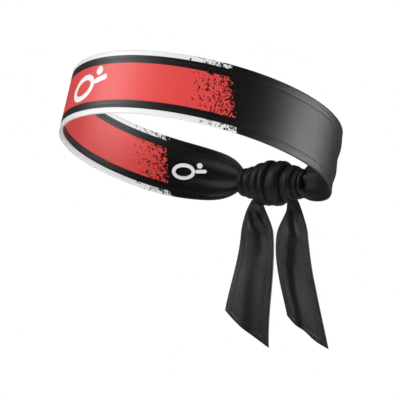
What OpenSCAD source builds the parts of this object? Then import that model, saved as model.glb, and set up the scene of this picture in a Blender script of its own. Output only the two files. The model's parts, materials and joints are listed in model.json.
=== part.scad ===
// Tie headband for racket sports: a two-layer stretch band, a barrel knot at the nape and two hanging tails.
// The wearer faces -Y, the wearer's left is +X and +Z is up. The origin is the middle of the head opening.

/* [Band] */
// Half the width of the ring, ear to ear, at the middle of the cloth
ring_half_width = 89; // [74:1:107]
// Half the depth of the ring, forehead to nape, at the middle of the cloth
ring_half_depth = 94; // [78:1:113]
// Height of the band
band_height = 42; // [34:1:52]
// How far the front of the ring is tipped up when it is worn, in degrees
wear_tilt = 21.5; // [0:0.5:30]
// Thickness of one layer of cloth
cloth = 0.7; // [0.5:0.1:0.9]
// Space between the two layers, which the seams fill at the edges
layer_gap = 0.5; // [0.3:0.1:0.8]
// Length over which the band narrows into the knot: two thirds of the narrowing lie within it
gather_length = 11; // [7:0.5:16]

/* [Seams and stitches] */
// Width of the overlocked seam inside each edge
seam_width = 5; // [3:0.5:6]
// Distance of each row of stitches from the edge
stitch_inset = 5.5; // [4:0.5:7]
// Thickness of the sewing thread
thread = 0.35; // [0.2:0.05:0.5]

/* [Emblems] */
// Length of the emblem on the forehead
front_emblem_length = 36; // [24:1:43]
// Length of the emblem on the skin side
inner_emblem_length = 25; // [16:1:30]
// Thickness of the heat-pressed film
film = 0.2; // [0.1:0.05:0.4]

/* [Knot] */
// Radius of the barrel of the knot
barrel_radius = 16.4; // [13:0.2:20]
// Radius of the collars at the two ends of the knot
collar_radius = 10; // [8:0.2:12]
// Radius of the bunched cloth that runs through the knot
core_radius = 5; // [3.5:0.5:6]
// Length of the knot
knot_length = 53; // [44:1:64]

/* [Tails] */
// Drop from the knot's hanging point to the long corner of a tail
tail_drop = 95.5; // [79:0.5:115]
// How much shorter the short side of a tail is
tail_slant = 23; // [10:1:40]
// Depth of the folds that run down a tail
fold_depth = 2.4; // [0:0.1:3]
// How far each tail turns to follow the back of the head, in degrees
tail_turn = 5; // [0:1:7]

/* [Hidden] */

LEFT = 0;
RIGHT = 1;
OUTER = 1;
INNER = -1;
rest_gap = 0.05;      // between pieces that lie against each other
joint_gap = 0.4;      // between pieces that move past each other
print_gap = 0.16;     // between a curved film and the faceted cloth below it

// ---- Layers, counted outwards from the middle of the cloth ----
layer_in = layer_gap / 2;
layer_out = layer_in + cloth;
seam_half = layer_in - 2 * rest_gap;

// ---- The knot, placed from the back of the ring ----
knot_inset = 1.7;     // the knot's axis lies this far inside the ring
knot_shift = 3.2;     // and this far towards the wearer's left
knot_at = tilt([knot_shift, ring_half_depth - knot_inset, 0]);
turn_shares = [5, 7, 7.5, 6, 10.5, 8.5, 4.5, 4];
turn_count = len(turn_shares);
function sum(list, n) = n == 0 ? 0 : list[n - 1] + sum(list, n - 1);
turn_unit = knot_length / sum(turn_shares, turn_count);
function turn_start(i) = turn_unit * sum(turn_shares, i) - knot_length / 2;
function turn_middle(i) = turn_start(i) + turn_unit * turn_shares[i] / 2;
function barrel(x) = collar_radius + (barrel_radius - collar_radius) * pow(cos(180 * x / knot_length), 2);
function turn_radius(i) = barrel(turn_middle(i));

// ---- The ring ----
function tilt(p) =
    [p.x, p.y * cos(wear_tilt) + p.z * sin(wear_tilt), p.z * cos(wear_tilt) - p.y * sin(wear_tilt)];
function ring_point(angle, out, z) =
    tilt([(ring_half_width + out) * sin(angle), -(ring_half_depth + out) * cos(angle), z]);
end_gap = rest_gap + layer_out * 0.35;
right_end = asin((knot_length / 2 - knot_shift + end_gap) / (ring_half_width - layer_out)) - 180;
left_end = 180 - asin((knot_length / 2 + knot_shift + end_gap) / (ring_half_width - layer_out));
mm_per_degree = (ring_half_width + ring_half_depth) / 2 * PI / 180;
function from_knot(angle) = mm_per_degree * min(angle - right_end, left_end - angle);
gathered_height = 1.9 * collar_radius;
function height_at(angle) =
    gathered_height + (band_height - gathered_height) * (1 - exp(-from_knot(angle) / gather_length));
band_steps = 84;
end_crowding = 0.75;
function band_angle(i) =
    let (t = i / band_steps)
    right_end + (left_end - right_end) * (t - end_crowding * sin(360 * t) / 360 * 180 / PI);

// ---- The tails, each in its own frame: x across it, y out of the cloth, z up from the hanging point ----
neck_radius = 4.5;
neck_length = 11;
neck_depth = 7;
neck_width = 21;
roll = layer_out + 0.15;
hang_shift = [15, -15];   // where each tail leaves the knot, from the knot's middle
function hang_radius(side) = max([for (i = [0 : turn_count - 1])
    if (abs(turn_middle(i) - hang_shift[side]) < turn_unit * turn_shares[i] / 2 + neck_radius)
        turn_radius(i)]);
function hang_point(side) =
    knot_at + [hang_shift[side], 0, -hang_radius(side) - joint_gap - neck_radius];
function hang_turn_angle(side) = side == LEFT ? -tail_turn : tail_turn;
lift_z = -neck_length - joint_gap - roll;
// Each tail's edges, left tail then right, as polynomials of the depth: 0 at the hanging point, 1 at the tip
left_edge = [[-6.2, -64, 144, -75], [-12.6, 15, -80, 51]];
right_edge = [[11.1, 5, 24, -9], [10.4, 23, -51, 27]];
function edge(c, t) = c[0] + c[1] * t + c[2] * t * t + c[3] * t * t * t;
function tail_bottom(v) = -tail_drop + tail_slant * (1 - v) / 2;
fold_turns = 330;     // degrees of wave across a tail
fold_start = [70, -40];
function fold(side, t, v) =
    fold_depth * (1.1 - 0.35 * t) * cos(fold_turns / 2 * v + fold_start[side] + 40 * t);
function tail_point(side, u, v, out) =
    let (top = lift_z - roll - 0.1, z = top + u * (tail_bottom(v) - top), t = -z / tail_drop)
    let (a = edge(left_edge[side], t), b = edge(right_edge[side], t))
    let (settle = min(1, u * 4))
    [a + (b - a) * (v + 1) / 2, out + settle * settle * fold(side, t, v), z];
tail_width = 42;
seam_share = 2 * seam_width / tail_width;
stitch_share = 2 * stitch_inset / tail_width;
thread_share = thread / tail_width;

// ---- Building closed sheets ----
// front and back are grids of points, in rows of columns. A looped sheet joins its last row to its first.
module sheet(front, back, looped = false) {
    rows = len(front);
    columns = len(front[0]);
    steps = looped ? rows - 1 : rows - 2;
    under = rows * columns;
    function at(i, j) = (i % rows) * columns + j;
    function quad(a, b, c, d) = [[a, b, c], [a, c, d]];
    faces = [
        for (i = [0 : steps], j = [0 : columns - 2])
            each concat(
                quad(at(i, j), at(i, j + 1), at(i + 1, j + 1), at(i + 1, j)),
                quad(under + at(i, j), under + at(i + 1, j), under + at(i + 1, j + 1), under + at(i, j + 1))),
        for (i = [0 : steps])
            each concat(
                quad(at(i, 0), at(i + 1, 0), under + at(i + 1, 0), under + at(i, 0)),
                quad(at(i, columns - 1), under + at(i, columns - 1),
                    under + at(i + 1, columns - 1), at(i + 1, columns - 1))),
        if (!looped) for (j = [0 : columns - 2])
            each concat(
                quad(at(0, j), under + at(0, j), under + at(0, j + 1), at(0, j + 1)),
                quad(at(rows - 1, j), at(rows - 1, j + 1),
                    under + at(rows - 1, j + 1), under + at(rows - 1, j)))
    ];
    polyhedron([each for (row = front) row, each for (row = back) row], faces);
}

// A strip right round the band. low and high are functions that give its edges' heights at an angle.
module band_strip(low, high, inside, outside) {
    function grid(out) = [for (i = [0 : band_steps])
        let (a = band_angle(i)) [ring_point(a, out, low(a)), ring_point(a, out, high(a))]];
    sheet(grid(outside), grid(inside));
}

module panel(face) {
    low = function (a) -height_at(a) / 2;
    high = function (a) height_at(a) / 2;
    if (face == OUTER) band_strip(low, high, layer_in, layer_out);
    else band_strip(low, high, -layer_out, -layer_in);
}

// Rows near the edges keep their distance from the edge while the band narrows.
function narrowing(angle) = height_at(angle) / band_height;
module edge_seam(end) {
    near = function (a) end * (height_at(a) / 2 - 0.3);
    far = function (a) end * (height_at(a) / 2 - 0.3 - seam_width * narrowing(a));
    if (end > 0) band_strip(far, near, -seam_half, seam_half);
    else band_strip(near, far, -seam_half, seam_half);
}

module stitch_row(end, face) {
    row = function (a) end * (height_at(a) / 2 - stitch_inset * narrowing(a));
    low = function (a) row(a) - thread / 2;
    high = function (a) row(a) + thread / 2;
    lie = layer_out + rest_gap;
    if (face == OUTER) band_strip(low, high, lie, lie + thread);
    else band_strip(low, high, -lie - thread, -lie);
}

// ---- Emblems: a racket in outline and a solid ball, drawn 36 long and scaled to length ----
emblem_drawn = 36;
emblem_slope = 14;
stroke = 3.4;
frame_middle = [-6.5, 0];
frame_radii = [10.2, 6.8];
handle_start = 5.6;
handle_end = 17.6;
ball_middle = [10.6, 6.2];
ball_radius = 3;
module emblem(angle, length, face) {
    scale_by = length / emblem_drawn;
    near = layer_out + print_gap;
    function spot(p, q, out) =
        let (x = scale_by * (p * cos(emblem_slope) - q * sin(emblem_slope)),
            y = scale_by * (p * sin(emblem_slope) + q * cos(emblem_slope)))
        ring_point(angle + face * x / mm_per_degree, face * out, y);
    module printed(path, looped) {
        near_face = [for (row = path) [for (c = row) spot(c.x, c.y, near)]];
        far_face = [for (row = path) [for (c = row) spot(c.x, c.y, near + film)]];
        sheet(far_face, near_face, looped);
    }
    racket_frame = [for (t = [0 : 10 : 350])
        [for (w = [-stroke / 2, stroke / 2])
            frame_middle + [(frame_radii.x + w) * cos(t), (frame_radii.y + w) * sin(t)]]];
    handle = [for (x = [handle_start : 1.2 : handle_end]) [[x, stroke / 2], [x, -stroke / 2]]];
    ball = [for (t = [10 : 20 : 170])
        [for (end = [1, -1]) ball_middle + ball_radius * [-cos(t), end * sin(t)]]];
    printed(racket_frame, true);
    printed(handle, false);
    printed(ball, false);
}

// ---- The knot ----
module along_knot() translate(knot_at) rotate([0, 90, 0]) children();

module core() along_knot()
    cylinder(h = knot_length, r = core_radius, center = true, $fn = 48);

module turn(i) {
    half = (turn_unit * turn_shares[i] - rest_gap) / 2;
    top = turn_radius(i);
    shoulder = top - min(0.7 * half, 0.45 * (top - core_radius));
    along_knot() translate([0, 0, turn_middle(i)]) rotate_extrude($fn = 48)
        polygon([[core_radius + rest_gap, -half], [core_radius + rest_gap, half],
            for (t = [90 : -15 : -90]) [shoulder + (top - shoulder) * cos(t), half * sin(t)]]);
}

// ---- Tail pieces ----
module at_tail(side) translate(hang_point(side)) rotate([0, 0, hang_turn_angle(side)]) children();

module tail_patch(side, u, v, out, rows, columns) {
    function grid(o) = [for (i = [0 : rows]) [for (j = [0 : columns])
        tail_point(side, u[0] + (u[1] - u[0]) * i / rows, v[0] + (v[1] - v[0]) * j / columns, o)]];
    at_tail(side) sheet(grid(out[0]), grid(out[1]));
}

tail_rows = 22;
tail_columns = 16;
module tail_layer(side, face) {
    deep = face == OUTER ? [layer_in, layer_out] : [-layer_out, -layer_in];
    tail_patch(side, [0, 1], [-1, 1], deep, tail_rows, tail_columns);
}

// The seam's rows lie on the layers' own rows, so that the three keep apart where the cloth folds.
module tail_seam(side) {
    deep = [-seam_half, seam_half];
    row = 1 / tail_rows;
    inset = 0.02;
    tail_patch(side, [row, 1 - row], [inset - 1, inset - 1 + seam_share], deep, tail_rows - 2, 2);
    tail_patch(side, [row, 1 - row], [1 - inset - seam_share, 1 - inset], deep, tail_rows - 2, 2);
    tail_patch(side, [1 - row * 0.9, 0.995], [inset - 1, 1 - inset], deep, 1, tail_columns);
}

module tail_stitching(side, face) {
    lie = layer_out + rest_gap;
    deep = face == OUTER ? [lie, lie + thread] : [-lie - thread, -lie];
    hem = 1 - stitch_inset / tail_drop;
    for (v = [stitch_share - 1, 1 - stitch_share])
        tail_patch(side, [0.02, hem - 0.02], [v - thread_share, v + thread_share], deep, tail_rows, 1);
    row = [hem - thread / tail_drop, hem + thread / tail_drop];
    tail_patch(side, row, [-0.9, 0.9], deep, 1, tail_columns - 1);
}

// The neck is round about the swing axis at its top, and thin where the tail folds below it.
module tail_neck(side) at_tail(side) hull() {
    rotate([90, 0, 0]) cylinder(h = neck_depth, r = neck_radius, center = true, $fn = 32);
    translate([0, 0, -neck_length + 0.5]) cube([neck_width, 2 * layer_out, 1], center = true);
}

cloth_black = "#1b1b1d";
cloth_red = "#d8403e";
film_white = "#f4f4f2";
thread_black = "#0c0c0d";

color(cloth_red) panel(OUTER);  // outer_panel
color(cloth_red) panel(INNER);  // inner_panel
color(film_white) edge_seam(1);  // upper_edge_seam
color(film_white) edge_seam(-1);  // lower_edge_seam
color(thread_black) stitch_row(1, OUTER);  // outer_upper_stitching
color(thread_black) stitch_row(-1, OUTER);  // outer_lower_stitching
color(thread_black) stitch_row(1, INNER);  // inner_upper_stitching
color(thread_black) stitch_row(-1, INNER);  // inner_lower_stitching
color(film_white) emblem(-19.3, front_emblem_length, OUTER);  // front_emblem
color(film_white) emblem(-140.8, inner_emblem_length, INNER);  // inner_emblem
color(cloth_black) core();  // knot_core
for (i = [0 : turn_count - 1])
    color(cloth_black) turn(i);
for (side = [LEFT, RIGHT]) {
    name = side == LEFT ? "left_tail_" : "right_tail_";
    color(cloth_black) tail_neck(side);
    color(cloth_black) tail_layer(side, OUTER);
    color(cloth_black) tail_layer(side, INNER);
    color(cloth_black) tail_seam(side);
    color(thread_black) tail_stitching(side, OUTER);
    color(thread_black) tail_stitching(side, INNER);
}
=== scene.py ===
# %% [markdown]
# # A tie headband, sewn and knotted in Blender
#
# The object is a strip of stretch cloth in two layers, printed, topstitched along both edges, tied in a
# barrel knot at the nape, with two tails hanging from the knot. The solid model holds the sizes, the
# joints and the weights. This script gives each solid its cloth: knit, folds, stitches and print.
#
# The wearer faces -Y, +X is the wearer's left and +Z is up. The origin is the middle of the head opening.
# Blender works in metres, so every size below is a number of millimetres times MM.

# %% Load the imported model
import bisect
import json
import math
import bmesh
import bpy
from mathutils import Matrix, Vector, noise


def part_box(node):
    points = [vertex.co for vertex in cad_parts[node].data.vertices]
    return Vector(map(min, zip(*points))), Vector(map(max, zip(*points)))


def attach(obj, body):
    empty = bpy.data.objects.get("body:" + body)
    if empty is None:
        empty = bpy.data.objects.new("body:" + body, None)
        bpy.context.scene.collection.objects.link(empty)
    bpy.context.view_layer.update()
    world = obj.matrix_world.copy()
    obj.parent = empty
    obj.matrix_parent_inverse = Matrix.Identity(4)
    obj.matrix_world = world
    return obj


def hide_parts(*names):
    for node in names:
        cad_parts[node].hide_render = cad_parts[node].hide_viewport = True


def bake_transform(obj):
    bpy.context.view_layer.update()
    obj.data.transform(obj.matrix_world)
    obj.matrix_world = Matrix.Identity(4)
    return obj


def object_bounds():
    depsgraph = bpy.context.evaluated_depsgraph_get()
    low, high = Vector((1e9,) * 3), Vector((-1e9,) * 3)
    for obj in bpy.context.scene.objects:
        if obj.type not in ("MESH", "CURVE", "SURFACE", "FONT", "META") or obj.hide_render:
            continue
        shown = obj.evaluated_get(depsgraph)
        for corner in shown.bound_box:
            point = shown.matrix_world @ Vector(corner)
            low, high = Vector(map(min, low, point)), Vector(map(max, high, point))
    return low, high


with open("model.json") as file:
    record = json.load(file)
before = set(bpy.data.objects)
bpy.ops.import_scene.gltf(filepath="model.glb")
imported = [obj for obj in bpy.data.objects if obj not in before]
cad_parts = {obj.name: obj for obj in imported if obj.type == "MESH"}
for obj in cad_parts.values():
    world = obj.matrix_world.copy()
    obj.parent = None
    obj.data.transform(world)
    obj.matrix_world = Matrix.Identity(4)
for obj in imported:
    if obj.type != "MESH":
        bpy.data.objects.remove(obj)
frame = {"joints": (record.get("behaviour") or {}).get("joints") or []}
cad_box = [list(corner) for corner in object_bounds()]
MM = 0.001

# %% [markdown]
# ## Camera
#
# A long lens from well back keeps the ring's two edges almost parallel, as in a catalogue picture. The
# camera stands in front of the wearer's left cheek, a touch above the middle of the band, and looks very
# slightly down.

# %% Camera
VIEW_AZIMUTH = math.radians(34.2)
VIEW_ELEVATION = math.radians(2.5)
VIEW_DISTANCE = 1320 * MM
AIM_RIGHT, AIM_UP = -1.1 * MM, -42.5 * MM

def direction(azimuth, elevation):
    """A unit vector from the object towards something at that azimuth, counted from -Y towards +X."""
    level = math.cos(elevation)
    return Vector((math.sin(azimuth) * level, -math.cos(azimuth) * level, math.sin(elevation)))

def look_at(obj, place, target):
    """Puts obj at place with its -Z axis towards target and its Y axis up."""
    obj.location = place
    obj.rotation_euler = (target - place).to_track_quat("-Z", "Y").to_euler()

to_camera = direction(VIEW_AZIMUTH, VIEW_ELEVATION)
screen_right = Vector((math.cos(VIEW_AZIMUTH), math.sin(VIEW_AZIMUTH), 0))
aim = screen_right * AIM_RIGHT + to_camera.cross(screen_right) * AIM_UP
camera = bpy.data.objects.new("camera", bpy.data.cameras.new("camera"))
bpy.context.collection.objects.link(camera)
camera.data.lens = 180
camera.data.sensor_width = 36
camera.data.dof.use_dof = False
look_at(camera, aim + to_camera * VIEW_DISTANCE, aim)
bpy.context.scene.camera = camera
print("camera at", [round(c, 3) for c in camera.location])

# %% [markdown]
# ## Floor and light
#
# Black satin shows only what it reflects, so the lights are large and few. A tall soft panel at the
# wearer's front right gives the red forehead its bloom, a second one behind the wearer's left ear gives
# the wide soft highlight on the black side, and the space between them is left to fall dark. The colours
# are lit by a third panel near the camera that leaves no highlight, and a narrow one overhead draws the
# ridges of the knot. The room and the floor are plain white to the camera, as on a light table, and give
# only a little light themselves. The standard view transform keeps the print's red as saturated as it is
# mixed.

# %% Floor, room and soft lights
FLOOR_DROP = 900 * MM
FLOOR_RADIUS = 14
ROOM_GLOW = 0.06
WHITE = (1, 1, 1, 1)
LIGHT_TARGET = Vector((0, 0, -30 * MM))

def seen_or_felt(tree, seen, felt):
    """Mixes two shaders: one for what the camera sees, one for what lights the object."""
    mix = tree.nodes.new("ShaderNodeMixShader")
    path = tree.nodes.new("ShaderNodeLightPath")
    tree.links.new(path.outputs["Is Camera Ray"], mix.inputs[0])
    tree.links.new(felt, mix.inputs[1])
    tree.links.new(seen, mix.inputs[2])
    return mix.outputs[0]

def white_room(glow):
    world = bpy.data.worlds.new("white_room")
    world.use_nodes = True
    tree = world.node_tree
    lit = tree.nodes["Background"]
    lit.inputs["Color"].default_value = WHITE
    lit.inputs["Strength"].default_value = glow
    shown = tree.nodes.new("ShaderNodeBackground")
    shown.inputs["Color"].default_value = WHITE
    tree.links.new(seen_or_felt(tree, shown.outputs[0], lit.outputs[0]),
        tree.nodes["World Output"].inputs["Surface"])
    bpy.context.scene.world = world

def soft_panel(name, azimuth, elevation, distance, size, power, mirrored=True):
    """A large rectangular light that faces the middle of the headband. One that isn't mirrored lights the
    colours and leaves no highlight, as a polarised fill does."""
    data = bpy.data.lights.new(name, "AREA")
    data.shape = "RECTANGLE"
    data.size, data.size_y = size
    data.energy = power
    panel = bpy.data.objects.new(name, data)
    bpy.context.collection.objects.link(panel)
    panel.visible_glossy = mirrored
    look_at(panel, direction(math.radians(azimuth), math.radians(elevation)) * distance, LIGHT_TARGET)

def white_floor(height):
    bm = bmesh.new()
    bmesh.ops.create_circle(bm, cap_ends=True, segments=96, radius=FLOOR_RADIUS)
    bmesh.ops.translate(bm, verts=bm.verts, vec=(0, 0, height))
    mesh = bpy.data.meshes.new("floor")
    bm.to_mesh(mesh)
    bm.free()
    floor = bpy.data.objects.new("floor", mesh)
    bpy.context.collection.objects.link(floor)
    paint = bpy.data.materials.new("floor_paint")
    paint.use_nodes = True
    tree = paint.node_tree
    matt = tree.nodes["Principled BSDF"]
    matt.inputs["Base Color"].default_value = (0.8, 0.8, 0.8, 1)
    matt.inputs["Roughness"].default_value = 0.9
    shown = tree.nodes.new("ShaderNodeEmission")
    shown.inputs["Strength"].default_value = 1.0
    tree.links.new(seen_or_felt(tree, shown.outputs[0], matt.outputs[0]),
        tree.nodes["Material Output"].inputs["Surface"])
    floor.data.materials.append(paint)

bpy.context.scene.view_settings.view_transform = "Standard"
white_room(ROOM_GLOW)
white_floor(cad_box[0][2] - FLOOR_DROP)
soft_panel("front_right_panel", -48, 22, 1.5, (0.42, 1.3), 22)
soft_panel("back_left_panel", 125, -7, 1.6, (0.85, 0.6), 25)
soft_panel("fill_panel", 40, -9, 1.5, (1.0, 0.7), 22, mirrored=False)
soft_panel("top_panel", 20, 84, 1.4, (0.9, 0.3), 4.5)
print("floor at", round(cad_box[0][2] - FLOOR_DROP, 3))

# %% [markdown]
# ## The ring's measurements
#
# These repeat the solid model's driving sizes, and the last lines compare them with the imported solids, so
# a change there shows here. The ring is an ellipse that is tipped up at the forehead. A place on the band
# is given by its angle round the ring, from the forehead towards the wearer's left, and by how far it is
# across the band and out from the middle of the cloth.

# %% Sizes of the band and the knot
RING_HALF_WIDTH = 89 * MM
RING_HALF_DEPTH = 94 * MM
BAND_HEIGHT = 42 * MM
WEAR_TILT = math.radians(21.5)
CLOTH = 0.7 * MM
LAYER_IN = 0.25 * MM
LAYER_OUT = LAYER_IN + CLOTH
GATHER_LENGTH = 11 * MM
LOWER_SLACK = 2 * MM   # how far the lower edge is drawn up beside the knot
SLACK_PLACE, SLACK_SPREAD = 20 * MM, 24 * MM
STITCH_INSET = 5.5 * MM
COLLAR_RADIUS = 10 * MM
BARREL_RADIUS = 16.4 * MM
CORE_RADIUS = 5 * MM
KNOT_LENGTH = 53 * MM
KNOT_INSET, KNOT_SHIFT = 1.7 * MM, 3.2 * MM
ARC = (RING_HALF_WIDTH + RING_HALF_DEPTH) / 2   # metres of band for each radian of angle

def tilt(x, y, z):
    c, s = math.cos(WEAR_TILT), math.sin(WEAR_TILT)
    return Vector((x, y * c + z * s, z * c - y * s))

knot_middle = tilt(KNOT_SHIFT, RING_HALF_DEPTH - KNOT_INSET, 0)
band_low, band_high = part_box("outer_panel")
print("half width", round((band_high[0] - band_low[0]) / 2, 4), "expected", RING_HALF_WIDTH + LAYER_OUT)
core_low, core_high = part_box("knot_core")
print("knot middle off by", round((knot_middle - (Vector(core_low) + Vector(core_high)) / 2).length, 5))

# %% [markdown]
# ## How the band lies
#
# Near the knot the band is squeezed from 42 mm to the width of the knot's collars. Cloth does not shrink,
# it pleats: close to the knot the pleats are deep and narrow, and further out they open into two or three
# long soft waves that fade towards the ears. The edges of each layer are turned in and sewn, so the face
# rounds over at the edge, swells over the seam and dips at the row of stitches.

# %% Shape of the band
COLLAR_GAP = 0.05 * MM
GATHERED_HEIGHT = 1.9 * COLLAR_RADIUS
TUCK = 3.5 * MM   # the band runs on this far, inside the collars
TUCK_TAPER = 14 * MM
PLEAT_DEPTH, PLEAT_REACH = 1.3 * MM, 18 * MM
FINE_DEPTH, FINE_REACH = 0.5 * MM, 5 * MM
# The wearer's left and right end: number of pleats, where they start, share of the full depth, then the
# long wave's height, reach and start.
LEFT_PLEATS = (3.2, 1.9, 0.5, 1.15 * MM, 58 * MM, 2.2)
RIGHT_PLEATS = (6.6, 0.5, 1, 0.7 * MM, 44 * MM, 0.9)
SEAM_SWELL, STITCH_DIP, DIP_WIDTH = 0.04 * MM, 0.11 * MM, 0.5 * MM
EDGE_HALF, EDGE_ROUND = 0.28 * MM, 0.9 * MM   # the turned edge: half its thickness, and how soon it fills out

def smooth(t):
    t = min(1.0, max(0.0, t))
    return t * t * (3 - 2 * t)

def end_angle(reach):
    """The angle from the nape at which the band meets a collar that lies reach to the side."""
    return math.asin((reach + COLLAR_GAP + LAYER_OUT * 0.35) / (RING_HALF_WIDTH - LAYER_OUT))

RIGHT_END = end_angle(KNOT_LENGTH / 2 - KNOT_SHIFT) - math.pi
LEFT_END = math.pi - end_angle(KNOT_LENGTH / 2 + KNOT_SHIFT)

def from_knot(angle):
    """Length of band between this angle and the nearer collar; negative inside the collar."""
    return ARC * min(angle - RIGHT_END, LEFT_END - angle)

def height_at(angle):
    distance = from_knot(angle)
    if distance < 0:
        return GATHERED_HEIGHT * (1 + distance / TUCK_TAPER)
    return GATHERED_HEIGHT + (BAND_HEIGHT - GATHERED_HEIGHT) * (1 - math.exp(-distance / GATHER_LENGTH))

def pleats(angle, across):
    """How far the pleats carry the cloth outwards; across runs from -1 at the lower edge to 1."""
    distance = max(0, from_knot(angle))
    count, start, share, wave_height, reach, wave_start = LEFT_PLEATS if angle > 0 else RIGHT_PLEATS
    deep = PLEAT_DEPTH * math.exp(-distance / PLEAT_REACH) * math.cos(math.pi * count / 2 * across + start)
    fine = FINE_DEPTH * math.exp(-distance / FINE_REACH) * math.cos(math.pi * count * across + 3 * start)
    wave = wave_height * math.exp(-((distance / reach) ** 2))
    lean = 0.5 * smooth(distance / (60 * MM))
    soft = wave * math.cos(math.pi * (1.9 + lean) * across + wave_start)
    shift = -KNOT_INSET * (1 - smooth(distance / (25 * MM)))
    return share * (deep + fine) + soft + shift

def face_swell(edge_distance):
    """How the face of a layer stands out or in, by its distance from the nearer edge."""
    over_seam = SEAM_SWELL * math.sin(math.pi * min(1, edge_distance / STITCH_INSET))
    groove = STITCH_DIP * math.exp(-(((edge_distance - STITCH_INSET) / DIP_WIDTH) ** 2))
    return over_seam - groove

def layer_offset(face, side, edge_distance):
    """Offset from the cloth's middle. face is 1 for the outer panel and -1 for the inner; side is 1 for
    the face of that layer that shows and 0 for its hidden back."""
    turn_in = math.sqrt(1 - (1 - min(1, edge_distance / EDGE_ROUND)) ** 2)
    if side:
        return face * (EDGE_HALF + (LAYER_OUT - EDGE_HALF) * turn_in + face_swell(edge_distance))
    return face * LAYER_IN * (0.25 + 0.75 * turn_in)

def band_point(angle, across, out):
    """A point of the band, in metres."""
    slack = LOWER_SLACK * math.exp(-(((from_knot(angle) - SLACK_PLACE) / SLACK_SPREAD) ** 2))
    z = across * height_at(angle) / 2 + slack * min(0, across) ** 2
    stand = out + pleats(angle, across)
    return tilt((RING_HALF_WIDTH + stand) * math.sin(angle), -(RING_HALF_DEPTH + stand) * math.cos(angle), z)

def band_flat(angle, across):
    return angle * ARC, across * BAND_HEIGHT / 2

print("band from", round(math.degrees(RIGHT_END), 1), "to", round(math.degrees(LEFT_END), 1), "degrees")

# %% [markdown]
# ## One helper for every sheet of cloth
#
# A layer of cloth is two grids face to face, joined round the rim. `create_grid` makes them, and each
# vertex then moves to the place that a function gives it. The cloth's own flat coordinates, in metres,
# become the UV map, so the knit keeps its size wherever the cloth is stretched or bunched.

# %% Cloth helper
def new_piece(name, bm):
    """Turns a bmesh into an object, smooth shaded, with its place in its mesh."""
    mesh = bpy.data.meshes.new(name)
    bm.to_mesh(mesh)
    bm.free()
    for polygon in mesh.polygons:
        polygon.use_smooth = True
    piece = bpy.data.objects.new(name, mesh)
    bpy.context.collection.objects.link(piece)
    return piece

def lay_out_flat(bm, flat):
    """Writes the cloth's own coordinates as the UV map; flat(vert) gives them for a vertex."""
    uv_layer = bm.loops.layers.uv.new("cloth")
    for face in bm.faces:
        for loop in face.loops:
            loop[uv_layer].uv = flat(loop.vert)

def cloth_sheet(name, along, across, place, flat):
    """A closed sheet. along and across list the rows' places; place(a, c, side) gives a point in metres,
    with side 1 on the face that shows and 0 on its back; flat(a, c) gives the cloth's own coordinates."""
    bm = bmesh.new()
    sides = []
    for side in (1, 0):
        made = bmesh.ops.create_grid(bm, x_segments=len(along) - 1, y_segments=len(across) - 1, size=1)
        sides.append(made["verts"])
    flat_of = {}
    for side, verts in zip((1, 0), sides):
        for vert in verts:
            a = along[round((vert.co.x + 1) / 2 * (len(along) - 1))]
            c = across[round((vert.co.y + 1) / 2 * (len(across) - 1))]
            flat_of[vert] = flat(a, c)
            vert.co = place(a, c, side)
    rim = [edge for edge in bm.edges if edge.is_boundary]
    bmesh.ops.bridge_loops(bm, edges=rim)
    bmesh.ops.recalc_face_normals(bm, faces=bm.faces)
    lay_out_flat(bm, flat_of.get)
    return new_piece(name, bm)

def spread(start, end, count):
    return [start + (end - start) * i / count for i in range(count + 1)]

def mirrored_rows(half_width, from_edge):
    """Places across a strip, from -1 to 1, dense where from_edge lists distances from each edge."""
    inner = [1 - d / half_width for d in from_edge]
    return [-p for p in inner] + [p for p in reversed(inner) if p > 1e-6]

EDGE_ROWS = [0, 0.12, 0.3, 0.55, 0.9, 1.5, 2.5, 3.6, 4.4, 4.8, 5.15, 5.5, 5.85, 6.2, 6.6, 7.3, 8.5, 10.5,
    12.5, 14.5, 16.7, 19]
band_rows = mirrored_rows(BAND_HEIGHT / 2, [d * MM for d in EDGE_ROWS])
print("rows across the band:", len(band_rows))

# %% [markdown]
# ## Knit
#
# Performance jersey is a fine knit: columns of V-shaped loops, about half a millimetre apart. At arm's
# length it reads as a satin surface. The group gives the loops' height for the Bump node and a faint
# shade for the colour, from the cloth's own coordinates. It is built once and used by every cloth.

# %% Knit node group
def link_value(tree, source, socket):
    """Sets a socket from a number or links it from another socket."""
    if isinstance(source, (int, float)):
        socket.default_value = source
    else:
        tree.links.new(source, socket)

def maths(tree, operation, first, second=0.0, third=None, clamp=False):
    node = tree.nodes.new("ShaderNodeMath")
    node.operation = operation
    node.use_clamp = clamp
    link_value(tree, first, node.inputs[0])
    link_value(tree, second, node.inputs[1])
    if third is not None:
        link_value(tree, third, node.inputs[2])
    return node.outputs[0]

def node_at(tree, kind, **settings):
    node = tree.nodes.new(kind)
    for key, value in settings.items():
        setattr(node, key, value)
    return node

def noise_at(tree, where, scale, detail, roughness=0.5):
    texture = node_at(tree, "ShaderNodeTexNoise")
    for label, value in (("Vector", where), ("Scale", scale), ("Detail", detail), ("Roughness", roughness)):
        link_value(tree, value, texture.inputs[label])
    return texture.outputs["Fac"]

def new_group(name, inputs, outputs):
    """A shader node group. inputs are (name, kind, value) and outputs are (name, kind)."""
    tree = bpy.data.node_groups.new(name, "ShaderNodeTree")
    for label, kind, value in inputs:
        socket = tree.interface.new_socket(name=label, in_out="INPUT", socket_type=kind)
        if value is not None:
            socket.default_value = value
    for label, kind in outputs:
        tree.interface.new_socket(name=label, in_out="OUTPUT", socket_type=kind)
    return tree, tree.nodes.new("NodeGroupInput").outputs, tree.nodes.new("NodeGroupOutput").inputs

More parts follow.
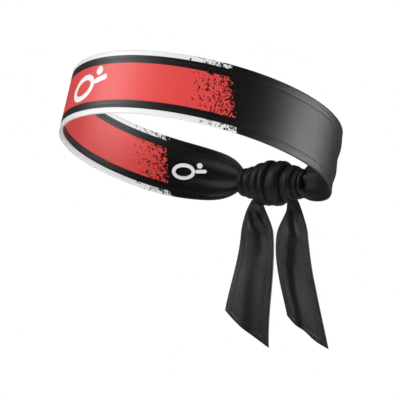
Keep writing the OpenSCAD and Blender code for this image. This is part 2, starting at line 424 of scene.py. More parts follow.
def build_knit_group():
    tree, given, result = new_group("knit_loops",
        [("Cloth", "NodeSocketVector", None), ("Pitch", "NodeSocketFloat", 0.0005)],
        [("Height", "NodeSocketFloat"), ("Shade", "NodeSocketFloat")])
    split = tree.nodes.new("ShaderNodeSeparateXYZ")
    tree.links.new(given["Cloth"], split.inputs[0])
    wale = maths(tree, "DIVIDE", split.outputs["Y"], given["Pitch"])
    course = maths(tree, "DIVIDE", split.outputs["X"], given["Pitch"])
    column = maths(tree, "PINGPONG", wale, 0.5)
    chevron = maths(tree, "ADD", course, column)
    leg = maths(tree, "SINE", maths(tree, "MULTIPLY", chevron, 2 * math.pi))
    round_leg = maths(tree, "SINE", maths(tree, "MULTIPLY", column, 2 * math.pi))
    height = maths(tree, "MULTIPLY", round_leg, maths(tree, "MULTIPLY_ADD", leg, 0.3, 0.7))
    speckle = noise_at(tree, given["Cloth"], 900, 3)
    tree.links.new(maths(tree, "MULTIPLY_ADD", speckle, 0.35, height), result["Height"])
    tree.links.new(maths(tree, "MULTIPLY_ADD", height, 0.16, 0.84), result["Shade"])
    return tree

knit_group = build_knit_group()
print("knit group nodes:", len(knit_group.nodes))

# %% [markdown]
# ## Print
#
# The strip is printed before it is sewn: a red field between black bands and white borders. Both ends of
# the red break up into spatter, and beyond them the cloth is plain black. The spatter is a mask: noise
# at two sizes is compared with a limit that rises towards the end of the print, so the specks start
# sparse and fine and close up into solid black. The mask is a group, because the red and the white use
# it with specks of different size and with different ends.

# %% Spatter node group
def build_spatter_group():
    """Mask is 1 where the ink is still there. Place is the distance along the cloth; the print is whole
    before Start and gone past End."""
    tree, given, result = new_group("ink_spatter",
        [("Cloth", "NodeSocketVector", None), ("Place", "NodeSocketFloat", 0.0),
            ("Start", "NodeSocketFloat", 0.04), ("End", "NodeSocketFloat", 0.07),
            ("Speck Scale", "NodeSocketFloat", 850.0)],
        [("Mask", "NodeSocketFloat")])
    fine = noise_at(tree, given["Cloth"], given["Speck Scale"], 1.5, roughness=0.6)
    blots = noise_at(tree, given["Cloth"], maths(tree, "MULTIPLY", given["Speck Scale"], 0.42), 2)
    grain = maths(tree, "MULTIPLY_ADD", blots, 0.5, maths(tree, "MULTIPLY", fine, 0.5))
    span = maths(tree, "SUBTRACT", given["End"], given["Start"])
    travel = maths(tree, "DIVIDE", maths(tree, "SUBTRACT", given["Place"], given["Start"]), span, clamp=True)
    last = maths(tree, "POWER", travel, 18.0)
    rise = maths(tree, "POWER", travel, 0.3)
    limit = maths(tree, "MULTIPLY_ADD", rise, 0.305, maths(tree, "MULTIPLY_ADD", last, 0.32, 0.2))
    crisp = maths(tree, "MULTIPLY_ADD", maths(tree, "SUBTRACT", grain, limit), 60.0, 0.5, clamp=True)
    tree.links.new(crisp, result["Mask"])
    return tree

spatter_group = build_spatter_group()
print("spatter group nodes:", len(spatter_group.nodes))

# %% [markdown]
# ## Cloth finishes
#
# Two cloths are needed: the printed panel and the plain black satin knit of the knot and tails. Both use
#  the knit group for bump and the Principled shader's own sheen for the fuzz of loose fibres that shows at
#  grazing angles, and the black satin has a little noise for uneven dye. Satin knit reflects broadly and
#  softly, so the roughness is middling and varies a little with the loops. The knot's turns and core have
#  a duller copy of the satin, so that their fronts stay dark.

# %% Cloth material helpers
KNIT_PITCH = 0.5 * MM
KNIT_BUMP = 0.3

def new_material(name):
    material = bpy.data.materials.new(name)
    material.use_nodes = True
    return material, material.node_tree, material.node_tree.nodes["Principled BSDF"]

def add_bump(tree, shader, height, strength, distance):
    bump = node_at(tree, "ShaderNodeBump")
    bump.inputs["Strength"].default_value = strength
    bump.inputs["Distance"].default_value = distance
    tree.links.new(height, bump.inputs["Height"])
    tree.links.new(bump.outputs[0], shader.inputs["Normal"])

def place_group(tree, group, **values):
    node = tree.nodes.new("ShaderNodeGroup")
    node.node_tree = group
    for label, value in values.items():
        link_value(tree, value, node.inputs[label.replace("_", " ")])
    return node

def mix_colour(tree, factor, first, second, blend="MIX"):
    node = node_at(tree, "ShaderNodeMix", data_type="RGBA", blend_type=blend)
    link_value(tree, factor, node.inputs[0])
    for colour, socket in ((first, node.inputs[6]), (second, node.inputs[7])):
        if isinstance(colour, tuple):
            socket.default_value = (*colour, 1)
        else:
            tree.links.new(colour, socket)
    return node.outputs[2]

def new_cloth(name, roughness, sheen, specular):
    """A material with the knit's bump and roughness in place. Returns it with its tree and shader, the
    cloth coordinates and the knit group's node, so that the caller can add the colour."""
    material, tree, shader = new_material(name)
    cloth = node_at(tree, "ShaderNodeUVMap", uv_map="cloth").outputs[0]
    knit = place_group(tree, knit_group, Cloth=cloth, Pitch=KNIT_PITCH)
    add_bump(tree, shader, knit.outputs["Height"], KNIT_BUMP, 0.12 * MM)
    tree.links.new(maths(tree, "MULTIPLY_ADD", knit.outputs["Shade"], -0.25, roughness + 0.21),
        shader.inputs["Roughness"])
    shader.inputs["Sheen Weight"].default_value = sheen
    shader.inputs["Sheen Roughness"].default_value = 0.35
    shader.inputs["Specular IOR Level"].default_value = specular
    return material, tree, shader, cloth, knit

print("cloth helpers ready")

# %% Plain black satin knit
INK_BLACK = (0.0024, 0.0024, 0.0025)
SATIN_BLACK = (0.0034, 0.0034, 0.0036)

def build_black_satin(name, roughness, specular):
    material, tree, shader, cloth, knit = new_cloth(name, roughness, 0.01, specular)
    dye = noise_at(tree, cloth, 60, 3)
    uneven = mix_colour(tree, dye, SATIN_BLACK, tuple(c * 1.6 for c in SATIN_BLACK))
    shaded = mix_colour(tree, 1.0, uneven, knit.outputs["Shade"], "MULTIPLY")
    tree.links.new(shaded, shader.inputs["Base Color"])
    return material

black_satin = build_black_satin("black_satin_knit", 0.38, 0.5)
tight_satin = build_black_satin("black_satin_knit_tight", 0.48, 0.25)
print("made", black_satin.name, "and", tight_satin.name)

# %% Printed knit
PRINT_RED = (0.66, 0.058, 0.054)
PRINT_WHITE = (0.72, 0.72, 0.715)
WHITE_BORDER = 3.4 * MM
BLACK_BAND = 5.2 * MM
RED_END_LEFT = math.radians(48.2) * ARC
RED_END_RIGHT = math.radians(-132.2) * ARC
PRINT_SLANT = 0.3   # the print's two ends lean: it runs on further at the lower edge
SPATTER_LENGTH = 38 * MM

def build_printed_knit():
    material, tree, shader, cloth, knit = new_cloth("printed_knit", 0.42, 0.008, 0.45)
    split = tree.nodes.new("ShaderNodeSeparateXYZ")
    tree.links.new(cloth, split.inputs[0])
    along = split.outputs["X"]
    from_edge = maths(tree, "SUBTRACT", BAND_HEIGHT / 2, maths(tree, "ABSOLUTE", split.outputs["Y"]))

    def within(distance):
        """1 further than distance from the edge, with the ink's slightly soft edge."""
        return maths(tree, "MULTIPLY_ADD", maths(tree, "SUBTRACT", from_edge, distance), 1 / (0.25 * MM), 0.5,
            clamp=True)

    def left_over(scale, grow):
        """Where the ink is left at both ends of the print."""
        ends = []
        for sign, end in ((1, RED_END_LEFT), (-1, -RED_END_RIGHT)):
            place = maths(tree, "MULTIPLY_ADD", split.outputs["Y"], PRINT_SLANT,
                maths(tree, "MULTIPLY", along, sign))
            spatter = place_group(tree, spatter_group, Cloth=cloth, Place=place,
                Start=end - SPATTER_LENGTH + grow, End=end + grow, Speck_Scale=scale)
            ends.append(spatter.outputs["Mask"])
        return maths(tree, "MULTIPLY", *ends)

    in_border = maths(tree, "SUBTRACT", 1.0, within(WHITE_BORDER))
    in_red = within(WHITE_BORDER + BLACK_BAND)
    white = maths(tree, "MULTIPLY", in_border, left_over(scale=850.0, grow=1.5 * MM))
    red = maths(tree, "MULTIPLY", in_red, left_over(scale=900.0, grow=0.0))
    painted = mix_colour(tree, red, INK_BLACK, PRINT_RED)
    painted = mix_colour(tree, white, painted, PRINT_WHITE)
    shaded = mix_colour(tree, 1.0, painted, knit.outputs["Shade"], "MULTIPLY")
    tree.links.new(shaded, shader.inputs["Base Color"])
    return material

printed_knit = build_printed_knit()
print("print runs from", round(RED_END_RIGHT, 4), "to", round(RED_END_LEFT, 4), "metres from the forehead")

# %% [markdown]
# ## The two panels
#
# The outer and inner panel are cut alike and sewn right sides together, then turned. Each is one closed
# sheet 0.7 mm thick that follows the band's shape, with rows close together where the edge turns in and
# where the stitches sink.

# %% Outer and inner panel
BAND_STEPS = 460
band_angles = spread(RIGHT_END - TUCK / ARC, LEFT_END + TUCK / ARC, BAND_STEPS)

def edge_distance(across):
    return (1 - abs(across)) * BAND_HEIGHT / 2

def make_panel(name, node, face):
    def place(angle, across, side):
        return band_point(angle, across, layer_offset(face, side, edge_distance(across)))
    panel = cloth_sheet(name, band_angles, band_rows, place, band_flat)
    panel.data.materials.append(printed_knit)
    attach(panel, "band")
    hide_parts(node)
    return panel

outer_panel = make_panel("outer_panel_cloth", "outer_panel", 1)
make_panel("inner_panel_cloth", "inner_panel", -1)

# %% [markdown]
# ## Threads
#
# The seam inside each edge is an overlocked strip, and it shows only as a fine line between the layers.
# The topstitching does show: one row 5.5 mm in from each edge, on both faces. Each stitch is a tiny
# capsule that lies in the groove, so it catches the light by itself. A few dozen faces are enough for one
# stitch, because there are about two hundred in a row.

# %% Thread material and overlocked seams
def build_thread(name, colour, scale):
    """Twisted polyester thread: a diagonal wave for the plies, on the piece's own coordinates, with painted
    shade in the grooves between them.
    """
    material, tree, shader = new_material(name)
    where = node_at(tree, "ShaderNodeTexCoord").outputs["Object"]
    ply = node_at(tree, "ShaderNodeTexWave", bands_direction="DIAGONAL")
    ply.inputs["Scale"].default_value = scale
    ply.inputs["Distortion"].default_value = 0.6
    tree.links.new(where, ply.inputs["Vector"])
    add_bump(tree, shader, ply.outputs["Fac"], 0.5, 0.05 * MM)
    # Painted shade: the colour darkens to 0.55 of the thread's where the ply wave sinks, in the grooves
    # between the plies.
    tree.links.new(mix_colour(tree, ply.outputs["Fac"], tuple(c * 0.55 for c in colour), colour),
        shader.inputs["Base Color"])
    tree.links.new(maths(tree, "MULTIPLY_ADD", ply.outputs["Fac"], -0.15, 0.62), shader.inputs["Roughness"])
    shader.inputs["Sheen Weight"].default_value = 0.1
    return material

black_thread = build_thread("sewing_thread", (0.006, 0.006, 0.0065), 900)
seam_thread = build_thread("overlock_thread", (0.03, 0.03, 0.032), 700)

SEAM_HALF = (LAYER_IN - 0.1 * MM) * 0.6   # half the seam's thickness, clear of both layers
LAYERS = ((1, "outer"), (-1, "inner"))
EDGES = ((1, "upper"), (-1, "lower"))

def make_band_seam(name, node, end):
    """The seam allowance between the layers, from just inside the edge to short of the stitches."""
    rows = [end * (1 - d * MM / (BAND_HEIGHT / 2)) for d in (0.35, 1.2, 2.2, 3.2, 4.2, 5.2)]
    angles = spread(RIGHT_END, LEFT_END, 300)
    def place(angle, across, side):
        return band_point(angle, across, SEAM_HALF if side else -SEAM_HALF)
    seam = cloth_sheet(name, angles, rows, place, band_flat)
    seam.data.materials.append(seam_thread)
    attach(seam, "band")
    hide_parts(node)

for end, word in EDGES:
    make_band_seam(f"{word}_overlocked_seam", f"{word}_edge_seam", end)
print("seams made")

# %% Topstitching
STITCH_PITCH = 2.6 * MM
STITCH_LENGTH = 1.95 * MM
THREAD = 0.42 * MM
PRESSED = 0.42   # half a stitch's height, as a share of the thread
STITCH_STAND = 0.06 * MM

def one_stitch():
    """A ball with its poles at the two ends of the row's direction."""
    bm = bmesh.new()
    bmesh.ops.create_uvsphere(bm, u_segments=8, v_segments=6, radius=1,
        matrix=Matrix.Rotation(math.pi / 2, 4, "Y"))
    return bm

def stitch_line(name, places):
    """places lists (middle, ahead, outward) for each stitch: the ball is stretched along the row and
    pressed flat, and lies half sunk in the cloth."""
    row = bmesh.new()
    loose = bpy.data.meshes.new("loose_stitch")
    stretch = Matrix.Diagonal((STITCH_LENGTH / 2, THREAD / 2, THREAD * PRESSED, 1))
    for middle, ahead, outward in places:
        ahead = ahead.normalized()
        sideways = outward.cross(ahead).normalized()
        turn = Matrix((ahead, sideways, ahead.cross(sideways))).transposed().to_4x4()
        stitch = one_stitch()
        bmesh.ops.transform(stitch, matrix=Matrix.Translation(middle) @ turn @ stretch, verts=stitch.verts)
        stitch.to_mesh(loose)
        stitch.free()
        row.from_mesh(loose)
    bpy.data.meshes.remove(loose)
    piece = new_piece(name, row)
    piece.data.materials.append(black_thread)
    return piece

def stitch_level(face):
    return layer_offset(face, 1, STITCH_INSET) + face * STITCH_STAND

def band_stitches(end, face):
    across = end * (1 - STITCH_INSET / (BAND_HEIGHT / 2))
    lie = stitch_level(face)
    step = STITCH_PITCH / ARC
    count = int((LEFT_END - RIGHT_END) / step)
    for i in range(count):
        angle = RIGHT_END + (i + 0.5) * step
        middle = band_point(angle, across, lie)
        ahead = band_point(angle + step / 4, across, lie) - middle
        outward = band_point(angle, across, lie + face * MM) - middle
        yield middle, ahead, outward

for face, layer in LAYERS:
    for end, word in EDGES:
        row = stitch_line(f"{layer}_{word}_stitches", list(band_stitches(end, face)))
        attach(row, "band")
        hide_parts(f"{layer}_{word}_stitching")
print("four rows of", len(list(band_stitches(1, 1))), "stitches")

# %% [markdown]
# ## Emblems
#
# Each emblem is white film, cut out and pressed onto the cloth with heat: a racket's outline and a ball.
# The shape is drawn flat, then laid on the band by the same function that lays the cloth, so it follows
# every ripple. The rim of the film rounds down to the cloth.

# %% Film material
def build_film():
    material, tree, shader = new_material("emblem_film")
    grain = noise_at(tree, node_at(tree, "ShaderNodeTexCoord").outputs["Object"], 1400, 3)
    add_bump(tree, shader, grain, 0.2, 0.05 * MM)
    tree.links.new(mix_colour(tree, grain, (0.66, 0.66, 0.655), (0.73, 0.73, 0.725)),
        shader.inputs["Base Color"])
    tree.links.new(maths(tree, "MULTIPLY_ADD", grain, 0.2, 0.36), shader.inputs["Roughness"])
    return material

emblem_film = build_film()
print("made", emblem_film.name)

# %% Front and inner emblem
EMBLEM_SLOPE = math.radians(14)
FILM = 0.2 * MM
FILM_LIFT, FILM_SINK = 0.02 * MM, 0.05 * MM   # the rim stands proud, the back sinks in
# The drawing is EMBLEM_DRAWN long, in millimetres, and is scaled to each emblem's length.
STROKE = 3.9
FRAME_MIDDLE, FRAME_RADII = (-6.5, 0.0), (10.2, 6.8)
HANDLE_START, HANDLE_END = 5.6, 17.6
BALL_MIDDLE, BALL_RADIUS = (10.6, 6.2), 3.0
EMBLEM_DRAWN = 36.0

def racket_frame(turn, across):
    reach = [radius + across * STROKE / 2 for radius in FRAME_RADII]
    return FRAME_MIDDLE[0] + reach[0] * math.cos(turn), FRAME_MIDDLE[1] + reach[1] * math.sin(turn)

def racket_handle(place, across):
    """A bar with round ends."""
    middle, half = (HANDLE_START + HANDLE_END) / 2, (HANDLE_END - HANDLE_START) / 2
    x = middle + place * half
    past = max(0.0, abs(place) * half - (half - STROKE / 2)) / (STROKE / 2)
    return x, across * STROKE / 2 * math.sqrt(max(0.0, 1 - past * past))

def ball(place, across):
    x = math.sin(place * math.pi / 2)
    height = math.sqrt(max(0.0, 1 - x * x))
    return BALL_MIDDLE[0] + BALL_RADIUS * x, BALL_MIDDLE[1] + BALL_RADIUS * across * height

def film_shape(bm, drawn, along, across, lay, closed):
    """Adds one shape of film: a face and a back from two grids, bridged, with its rim rounded down. A
    closed shape is a ring, so its outer and its inner rim are bridged apart."""
    part = bmesh.new()
    rim_side = part.verts.layers.int.new("rim_side")
    for side in (1, 0):
        made = bmesh.ops.create_grid(part, x_segments=len(along) - 1, y_segments=len(across) - 1, size=1)
        for vert in made["verts"]:
            a = along[round((vert.co.x + 1) / 2 * (len(along) - 1))]
            c = across[round((vert.co.y + 1) / 2 * (len(across) - 1))]
            rounded = 1 - abs(c) ** 6
            vert[rim_side] = int(c) if closed else 1
            vert.co = lay(drawn(a, c), FILM_LIFT + FILM * rounded if side else -FILM_SINK)
    bmesh.ops.remove_doubles(part, verts=part.verts, dist=0.001 * MM)
    rims = [edge for edge in part.edges if edge.is_boundary]
    for sign in (1, -1):
        rim = [edge for edge in rims if edge.verts[0][rim_side] == sign]
        if rim:
            bmesh.ops.bridge_loops(part, edges=rim)
    bmesh.ops.recalc_face_normals(part, faces=part.faces)
    mesh = bpy.data.meshes.new("part")
    part.to_mesh(mesh)
    part.free()
    bm.from_mesh(mesh)
    bpy.data.meshes.remove(mesh)

def make_emblem(name, node, angle, length, face):
    scale = length / EMBLEM_DRAWN
    def lay(point, stand):
        p, q = point
        x = scale * (p * math.cos(EMBLEM_SLOPE) - q * math.sin(EMBLEM_SLOPE)) * MM
        y = scale * (p * math.sin(EMBLEM_SLOPE) + q * math.cos(EMBLEM_SLOPE)) * MM
        across = y / (BAND_HEIGHT / 2)
        return band_point(angle + face * x / ARC, across, face * (LAYER_OUT + stand))
    bm = bmesh.new()
    across = [-1, -0.96, -0.85, -0.5, 0, 0.5, 0.85, 0.96, 1]
    film_shape(bm, racket_frame, spread(0, 2 * math.pi, 96), across, lay, True)
    film_shape(bm, racket_handle, [math.sin(p * math.pi / 2) for p in spread(-1, 1, 48)], across, lay, False)
    film_shape(bm, ball, spread(-1, 1, 32), across, lay, False)
    emblem = new_piece(name, bm)
    emblem.data.materials.append(emblem_film)
    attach(emblem, "band")
    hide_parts(node)
    return emblem

FRONT_EMBLEM_ANGLE, INNER_EMBLEM_ANGLE = math.radians(-19.3), math.radians(-140.8)
front_emblem = make_emblem("front_emblem_film", "front_emblem", FRONT_EMBLEM_ANGLE, length=36, face=1)
make_emblem("inner_emblem_film", "inner_emblem", INNER_EMBLEM_ANGLE, length=25, face=-1)
print("emblem faces:", len(front_emblem.data.polygons))

# %% [markdown]
# ## The knot
#
# The two ends of the band cross, wrap each other and pull tight into a barrel. What shows is a row of
# bunched turns of cloth, fattest in the middle. Each turn is a ring of its own: a grid is rolled into a
# torus whose section is a flattened loop, and its seams are merged. Then it is made to look tied and not
# turned on a lathe: every ring leans a little, its girth and width wander, and long creases run round it.

# %% Knot turns
TURN_SHARES = [5, 7, 7.5, 6, 10.5, 8.5, 4.5, 4]
TURN_LEANS = [0.2, 0.7, 1.0, 0.9, 1.5, 1.3, 0.8, 0.2]
TURN_SPREADS = [0.94, 1.08, 1.14, 1.12, 1.14, 1.12, 1.06, 0.94]
TURN_ROUNDS, TURN_LOOPS = 144, 40   # faces round the knot, and round each turn's own section
CREASE_DEPTH, CREASE_WIDTH = 0.5 * MM, 0.13
turn_unit = KNOT_LENGTH / sum(TURN_SHARES)

def barrel(x):
    return COLLAR_RADIUS + (BARREL_RADIUS - COLLAR_RADIUS) * math.cos(math.pi * x / KNOT_LENGTH) ** 2

def soft_power(value, power):
    return math.copysign(abs(value) ** power, value)

def make_turn(index):
    start = turn_unit * sum(TURN_SHARES[:index]) - KNOT_LENGTH / 2
    width = turn_unit * TURN_SHARES[index]
    middle = start + width / 2
    outer = barrel(middle)
    inner = CORE_RADIUS * 0.9
    creases = max(1, round(TURN_SHARES[index] / 3.2))
    def place(around, section):
        q = soft_power(math.cos(section), 0.85)
        lift = soft_power(math.sin(section), 0.8)
        wander = noise.noise(Vector((math.cos(around), math.sin(around), index * 3.7)))
        breadth = width / 2 * (TURN_SPREADS[index] + 0.12 * wander)
        bulge = noise.noise(Vector((math.sin(around) * 1.3, index * 5.1, math.cos(around))))
        girth = outer + 0.35 * MM * bulge
        radius = (girth + inner) / 2 + (girth - inner) / 2 * lift
        if lift > 0:
            drift = 0.35 * math.sin(around + index * 1.3) + 0.15 * math.sin(2 * around + index)
            for k in range(creases):
                at = (k + 1) / (creases + 1) * 2 - 1 + drift
                deep = 0.75 + 0.45 * math.sin(around * 2 + k * 2.1 + index)
                radius -= deep * CREASE_DEPTH * math.exp(-(((q - at) / CREASE_WIDTH) ** 2)) * min(1, lift * 3)
            fine = noise.noise(Vector((q * width / (2.2 * MM), around * 0.9, index * 9.0)))
            radius += 0.1 * MM * fine * lift
        x = middle + q * breadth + TURN_LEANS[index] * MM * math.cos(around - 0.4)
        return knot_middle + Vector((x, -radius * math.sin(around), radius * math.cos(around)))
    bm = bmesh.new()
    made = bmesh.ops.create_grid(bm, x_segments=TURN_ROUNDS, y_segments=TURN_LOOPS, size=1)
    spot = {}
    for vert in made["verts"]:
        around, section = (vert.co.x + 1) * math.pi, (vert.co.y + 1) * math.pi
        spot[vert] = (around * outer, section / math.pi * width)
        vert.co = place(around, section)
    lay_out_flat(bm, spot.get)
    bmesh.ops.remove_doubles(bm, verts=bm.verts, dist=0.001 * MM)
    bmesh.ops.recalc_face_normals(bm, faces=bm.faces)
    turn = new_piece(f"knot_turn_{index + 1}_cloth", bm)
    turn.data.materials.append(tight_satin)
    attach(turn, "band")
    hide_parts(f"knot_turn_{index + 1}")
    return turn

turns = [make_turn(index) for index in range(len(TURN_SHARES))]
print("turns:", len(turns), "faces each:", len(turns[0].data.polygons))

# %% [markdown]
# Through the middle of the knot runs the bunched band itself. It shows only at the two ends, inside the
#  collars, as a twist of narrow pleats, so the core is a fluted rod.

# %% Knot core
def plain_rod(segments, length, cuts):
    """A rod of radius 1 along Z, cut into rings of vertices for a formula to move."""
    bm = bmesh.new()
    bmesh.ops.create_cone(bm, cap_ends=True, segments=segments, radius1=1, radius2=1, depth=length)
    lengthwise = [edge for edge in bm.edges if abs(edge.verts[0].co.z - edge.verts[1].co.z) > length / 2]
    bmesh.ops.subdivide_edges(bm, edges=lengthwise, cuts=cuts, use_grid_fill=True)
    return bm

def make_core():
    bm = plain_rod(72, KNOT_LENGTH, 36)
    for vert in bm.verts:
        along = vert.co.z
        around = math.atan2(vert.co.y, vert.co.x)
        flute = math.cos(7 * around + along / KNOT_LENGTH * 5)
        radius = CORE_RADIUS * (0.86 + 0.1 * flute)
        vert.co = Vector((along, radius * math.cos(around), radius * math.sin(around)))
    lay_out_flat(bm, lambda vert: (vert.co.x, math.atan2(vert.co.z, vert.co.y) * CORE_RADIUS))
    bmesh.ops.translate(bm, verts=bm.verts, vec=knot_middle)
    bmesh.ops.recalc_face_normals(bm, faces=bm.faces)
    core = new_piece("knot_core_cloth", bm)
    core.data.materials.append(tight_satin)
    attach(core, "band")
    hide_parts("knot_core")
    return core

core = make_core()
print("core faces:", len(core.data.polygons))

# %% [markdown]
# ## The tails
#
# Each tail is the end of the strip: two layers, turned and topstitched, cut on a slant. It leaves the
# underside of the knot as a tight bunch, opens within two centimetres, and hangs in long soft folds. A
# tail is placed in its own frame: x across it, y out of the cloth, z up from its hanging point. The edges
# are the solid model's own curves, and the folds are creases that follow paths down the cloth. The flat
# width of 37 mm is a choice: with the band's 42 mm, the shallow folds drawn here would cover too little of
# the flat cloth.

# %% Tail sizes and joints
LEFT, RIGHT = 0, 1
SIDES = ("left", "right")
TAIL_DROP = 95.5 * MM
TAIL_DROPS = [TAIL_DROP - 1 * MM, TAIL_DROP + 1 * MM]
TAIL_SLANTS = [20.5 * MM, 25 * MM]
LEFT_EDGE = [[-6.2, -64, 144, -75], [-12.6, 15, -80, 51]]
RIGHT_EDGE = [[11.1, 5, 24, -9], [10.4, 23, -51, 27]]
TAIL_WIDTH = 37 * MM
THROAT_TOP = 7 * MM
THROAT_LENGTH = 25 * MM
THROAT_EDGES = [(-2.4, 1.8), (-2.8, 2.6)]
THROAT_DEPTH = 3.6 * MM
TAIL_CUT = TAIL_DROP + THROAT_TOP
joints = {joint["name"]: joint for joint in frame["joints"]}
hang_points = [Vector(joints[f"{side}_tail_swing"]["pos_m"]) for side in SIDES]
tail_turns = [math.atan2(*reversed(joints[f"{side}_tail_lift"]["axis"][:2])) for side in SIDES]
print("hanging points:", [[round(c, 4) for c in point] for point in hang_points])

# %% Shape of a tail
def cubic(c, t):
    return (c[0] + c[1] * t + c[2] * t * t + c[3] * t * t * t) * MM

def tail_bottom(side, across):
    """The height of the slanted hem. The cloth's own stiffness bows it down a little in the middle."""
    return -TAIL_DROPS[side] + TAIL_SLANTS[side] * (1 - across) / 2 - 1.2 * MM * (1 - across * across)

def path_at(path, t):
    """Reads a crease's path, a list of (depth, across), smoothly between its points."""
    depths = [point[0] for point in path]
    i = min(max(bisect.bisect_right(depths, t) - 1, 0), len(path) - 2)
    share = smooth((t - depths[i]) / (depths[i + 1] - depths[i]))
    return path[i][1] + (path[i + 1][1] - path[i][1]) * share

# Each crease is a step in the cloth: its path down the tail, its half width, and half its height in mm at
# the top and at the hem. To the right of a step the cloth lies further from the wearer's neck.
CREASES = [
    [([(0, -0.3), (0.07, -0.12), (0.19, 0.12), (0.31, -0.06), (0.44, -0.26), (0.56, -0.33), (0.74, -0.27),
            (1, -0.4)], 0.19, 2.7, 2.1),
        ([(0, 1.1), (0.4, 1.0), (0.6, 0.85), (1, 0.8)], 0.4, 0.2, 3.0)],
    [([(0, -0.5), (0.07, -0.33), (0.18, 0.03), (0.28, 0.14), (0.5, 0.3)], 0.24, 2.8, -3.6),
        ([(0, 0.1), (0.06, 0.32), (0.12, 0.55), (0.2, 0.8)], 0.13, 1.5, -6.5),
        ([(0.3, -0.05), (0.6, -0.02), (0.8, 0.05), (1, 0.1)], 0.26, -1.8, 2.8)],
]
PLEAT_COUNT = [5.2, 4.4]
PLEAT_START = [0.8, 2.3]

def tail_fold(side, t, across):
    total = 0.0
    for path, half_width, top, hem in CREASES[side]:
        depth = max(0, top + (hem - top) * t)
        total += depth * (math.tanh((across - path_at(path, t)) / half_width) - 0.9 * across)
    tight = math.exp(-max(0, t + 0.03) / 0.09)
    total += 1.2 * tight * math.cos(PLEAT_COUNT[side] * across + PLEAT_START[side] + 3 * t)
    flutter = noise.noise(Vector((across * 1.2, t * 2.2, 4.0 + side * 7)))
    return (total + 0.7 * flutter * smooth(t * 2)) * MM

def tail_edges(side, z):
    """The tail's left and right edge at a height: bunched in the throat, then the cut cloth's own edges."""
    t = -z / TAIL_DROP
    open_share = math.sin(math.pi / 2 * min(1, (THROAT_TOP - z) / THROAT_LENGTH))
    cut = (cubic(LEFT_EDGE[side], max(t, 0)), cubic(RIGHT_EDGE[side], max(t, 0)))
    throat = [edge * MM for edge in THROAT_EDGES[side]]
    return [throat[i] + (cut[i] - throat[i]) * open_share for i in (0, 1)]

def tail_point(side, down, across, out):
    """down runs from 0 inside the knot to 1 at the hem."""
    z = THROAT_TOP + down * (tail_bottom(side, across) - THROAT_TOP)
    t = -z / TAIL_DROP
    left, right = tail_edges(side, z)
    x = left + (right - left) * (across + 1) / 2
    throat = math.exp(-max(0, t + 0.04) / 0.07) * math.sqrt(max(0, 1 - across * across))
    y = out + tail_fold(side, t, across) * smooth((t + 0.09) / 0.12)
    y += math.copysign(THROAT_DEPTH * throat, out)
    turn = tail_turns[side]
    return hang_points[side] + Vector((x * math.cos(turn) - y * math.sin(turn),
        x * math.sin(turn) + y * math.cos(turn), z))

def tail_flat(down, across):
    return down * TAIL_CUT, across * TAIL_WIDTH / 2

mid_edges = [tail_edges(side, -50 * MM) for side in (LEFT, RIGHT)]
print("tail widths at mid drop:", [round(right - left, 4) for left, right in mid_edges])

# %% Tail layers
TAIL_ROWS = [0, 0.12, 0.3, 0.55, 0.9, 1.5, 2.4, 3.4, 4.3, 4.9, 5.5, 6.1, 6.8, 8, 9.5, 11, 12.5, 14, 15.5, 17]
tail_rows = mirrored_rows(TAIL_WIDTH / 2, [d * MM for d in TAIL_ROWS])
HEM_ROWS_START = 7.4 * MM   # the close rows at the hem begin this far from it
HEM_ROWS = [6.7, 6.1, 5.8, 5.5, 5.2, 4.9, 4.2, 3.2, 2.2, 1.4, 0.8, 0.4, 0.15, 0]
tail_steps = spread(0, 1 - HEM_ROWS_START / TAIL_CUT, 110) + [1 - d * MM / TAIL_CUT for d in HEM_ROWS]

def tail_edge_distance(down, across):
    """Distance from the nearest sewn edge: either side or the hem."""
    return min((1 - abs(across)) * TAIL_WIDTH / 2, (1 - down) * TAIL_CUT)

def make_tail_layer(side, face, layer):
    name = f"{SIDES[side]}_tail_{layer}"
    def place(down, across, shown):
        return tail_point(side, down, across, layer_offset(face, shown, tail_edge_distance(down, across)))
    cloth = cloth_sheet(f"{name}_cloth", tail_steps, tail_rows, place, tail_flat)
    cloth.data.materials.append(black_satin)
    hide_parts(f"{name}_layer")
    return cloth

def bend_at_lift(piece):
    """Bakes the piece's place into its mesh."""
    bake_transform(piece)

for side in (LEFT, RIGHT):
    for face, layer in LAYERS:
        bend_at_lift(make_tail_layer(side, face, layer))

# %% Tail seams, stitches and bunched necks
STITCHES_START = 0.12   # the stitched share of a tail starts here, below the tightest of the bunch
NECK_TOP, NECK_BOTTOM = 6 * MM, -12 * MM

def make_tail_seam(side):
    """The seam allowance of both sides and the hem, as one strip folded round the tail."""
    bm = bmesh.new()
    strips = [(spread(0.1, 0.95, 60), [s * (1 - d * MM / (TAIL_WIDTH / 2)) for d in (0.4, 2, 3.6, 5.1)])
        for s in (-1, 1)]
    strips.append(([1 - d * MM / TAIL_CUT for d in (5.1, 3.6, 2, 0.4)], spread(-0.97, 0.97, 40)))
    name = f"{SIDES[side]}_tail_seam"
    def place(down, across, shown):
        return tail_point(side, down, across, SEAM_HALF if shown else -SEAM_HALF)
    for part in [cloth_sheet(name, along, across, place, tail_flat) for along, across in strips]:
        bm.from_mesh(part.data)
        bpy.data.objects.remove(part)
    seam = new_piece(f"{name}_strip", bm)
    seam.data.materials.append(seam_thread)
    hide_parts(f"{SIDES[side]}_tail_edge_seam")
    return seam

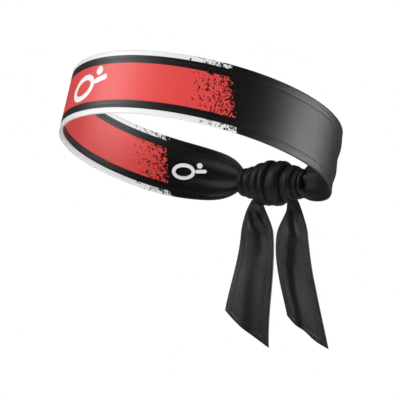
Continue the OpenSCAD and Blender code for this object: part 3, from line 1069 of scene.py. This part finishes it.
def tail_stitches(side, face):
    lie = stitch_level(face)
    edge = 1 - STITCH_INSET / (TAIL_WIDTH / 2)
    hem = 1 - STITCH_INSET / TAIL_CUT
    count = int((hem - STITCHES_START) * TAIL_CUT / STITCH_PITCH)
    runs = [[(d, s * edge) for d in spread(STITCHES_START, hem, count)] for s in (-1, 1)]
    runs.append([(hem, a) for a in spread(-edge, edge, int(edge * TAIL_WIDTH / STITCH_PITCH))])
    for run in runs:
        for (d0, a0), (d1, a1) in zip(run, run[1:]):
            d, a = (d0 + d1) / 2, (a0 + a1) / 2
            middle = tail_point(side, d, a, lie)
            ahead = tail_point(side, d1, a1, lie) - tail_point(side, d0, a0, lie)
            outward = tail_point(side, d, a, lie + face * MM) - middle
            yield middle, ahead, outward

def make_neck(side):
    """Cloth bunched inside the throat: a fluted plug, round at the top and flat where the tail opens."""
    bm = plain_rod(64, 2, 24)
    turn = Matrix.Rotation(tail_turns[side], 4, "Z")
    for vert in bm.verts:
        share = (1 - vert.co.z) / 2
        around = math.atan2(vert.co.y, vert.co.x)
        z = NECK_TOP + (NECK_BOTTOM - NECK_TOP) * share
        left, right = tail_edges(side, z)
        flute = 1 + 0.1 * math.cos(6 * around + share * 2)
        depth = 3.4 * MM * (1 - smooth(share)) + 0.16 * MM
        t = -z / TAIL_DROP
        fold = tail_fold(side, t, math.cos(around) * 0.8) * smooth((t + 0.07) / 0.1)
        vert.co = turn @ Vector(((left + right) / 2 + (right - left) / 2 * 0.8 * math.cos(around),
            depth * math.sin(around) * flute + fold, z))
    lay_out_flat(bm, lambda vert: (vert.co.z, vert.co.x))
    bmesh.ops.translate(bm, verts=bm.verts, vec=hang_points[side])
    bmesh.ops.recalc_face_normals(bm, faces=bm.faces)
    neck = new_piece(f"{SIDES[side]}_tail_neck_cloth", bm)
    neck.data.materials.append(black_satin)
    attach(neck, f"{SIDES[side]}_neck")
    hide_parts(f"{SIDES[side]}_tail_neck")

for side in (LEFT, RIGHT):
    bend_at_lift(make_tail_seam(side))
    make_neck(side)
    for face, layer in LAYERS:
        row = stitch_line(f"{SIDES[side]}_tail_{layer}_stitches", list(tail_stitches(side, face)))
        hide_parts(f"{SIDES[side]}_tail_{layer}_stitching")
        bend_at_lift(row)
print("tails sewn")

# %% [markdown]
# ## Finish
#
# The last cell prints the solid model's box.

# %% Print the solid model's box
print("solid box", [[round(c, 4) for c in corner] for corner in cad_box])
